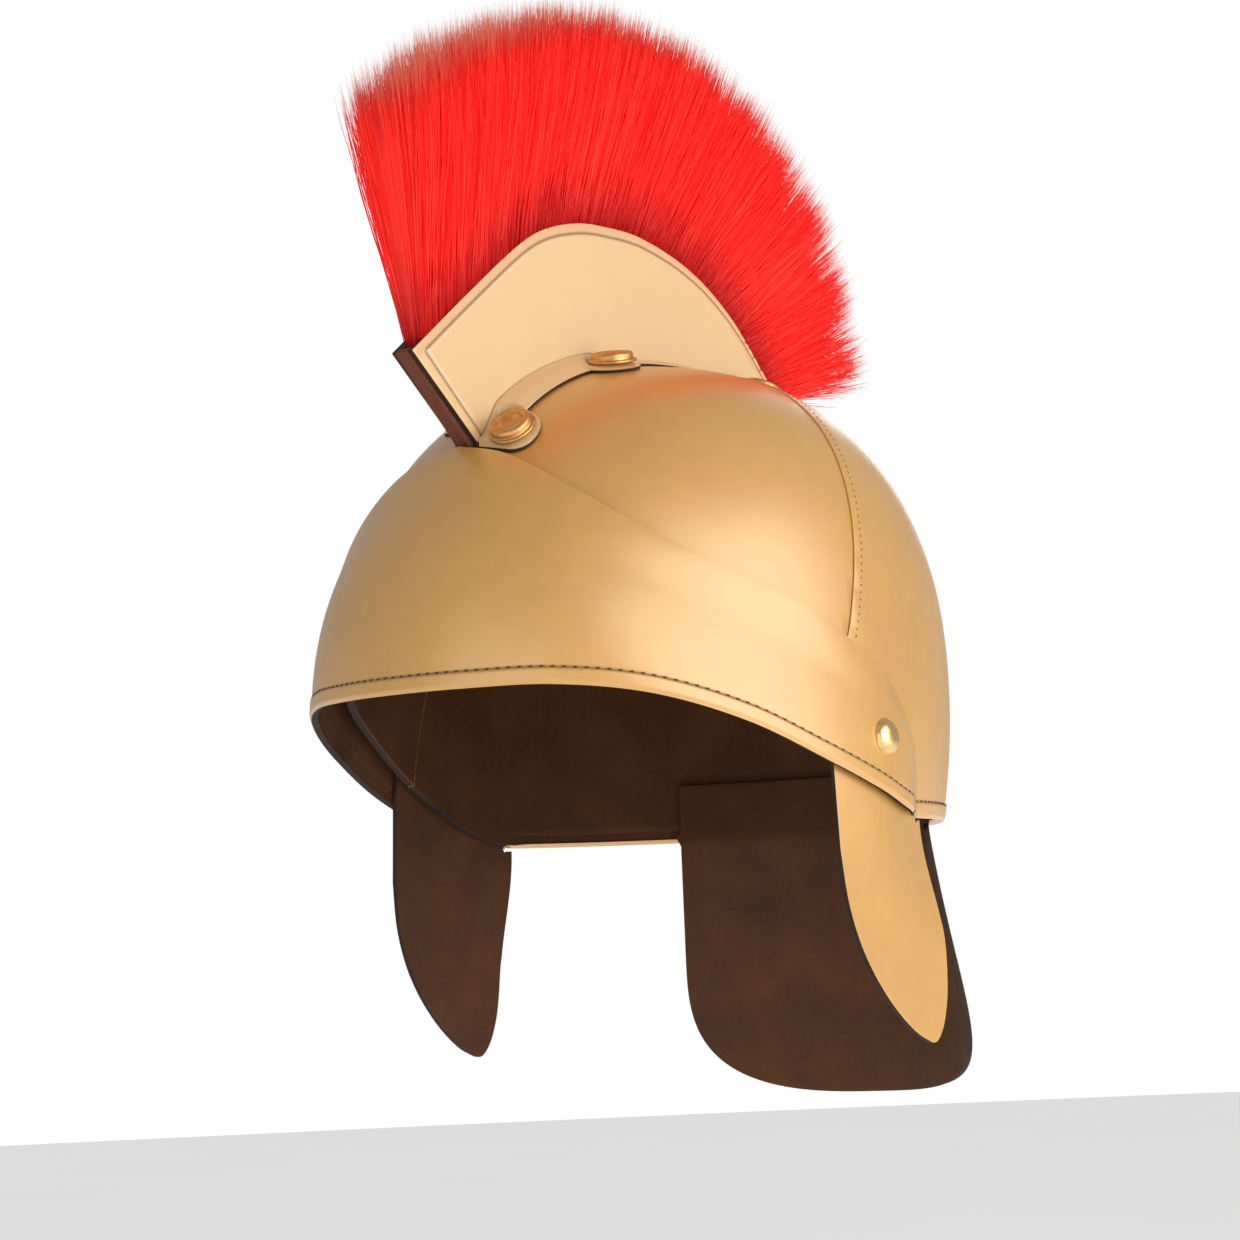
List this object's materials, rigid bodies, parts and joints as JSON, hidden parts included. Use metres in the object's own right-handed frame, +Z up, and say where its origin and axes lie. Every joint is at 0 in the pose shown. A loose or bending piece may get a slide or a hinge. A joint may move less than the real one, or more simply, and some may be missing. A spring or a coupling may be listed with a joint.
{
  "type": "gladiator helmet",
  "caption": "Gold leather gladiator helmet with a brow visor band, cheek and neck guards, and a crest holder carrying a red plume; worn on the head.",
  "frame": {"origin": "the top of the hollow inside the crown, where the wearer's head carries the helmet", "axes": "+Z up as worn, -Y towards the front over the brow, +X towards the wearer's left ear"},
  "size_m": [0.1992, 0.2241, 0.3473],
  "materials": {
    "gold_leather": "satin gold coated leather with a brown flesh side",
    "pale_gold_leather": "smooth pale gold leather with an embossed border line",
    "brown_leather": "plain brown leather edge",
    "red_hair": "bright red brush hair",
    "gold_metal": "polished gold-coloured metal"
  },
  "bodies": {
    "root": {"crown_front_panel": "gold_leather", "crown_back_panel": "gold_leather", "visor_band": "gold_leather", "crest_plate_left": "pale_gold_leather", "crest_plate_right": "pale_gold_leather", "crest_core": "brown_leather", "plume": "red_hair", "rosette_front_left": "gold_metal", "rosette_middle_left": "gold_metal", "rosette_rear_left": "gold_metal", "rosette_front_right": "gold_metal", "rosette_middle_right": "gold_metal", "rosette_rear_right": "gold_metal", "side_stud_left": "gold_metal", "side_stud_right": "gold_metal", "cheek_guard_left": "gold_leather", "cheek_guard_right": "gold_leather", "neck_guard": "gold_leather"}
  },
  "joints": []
}
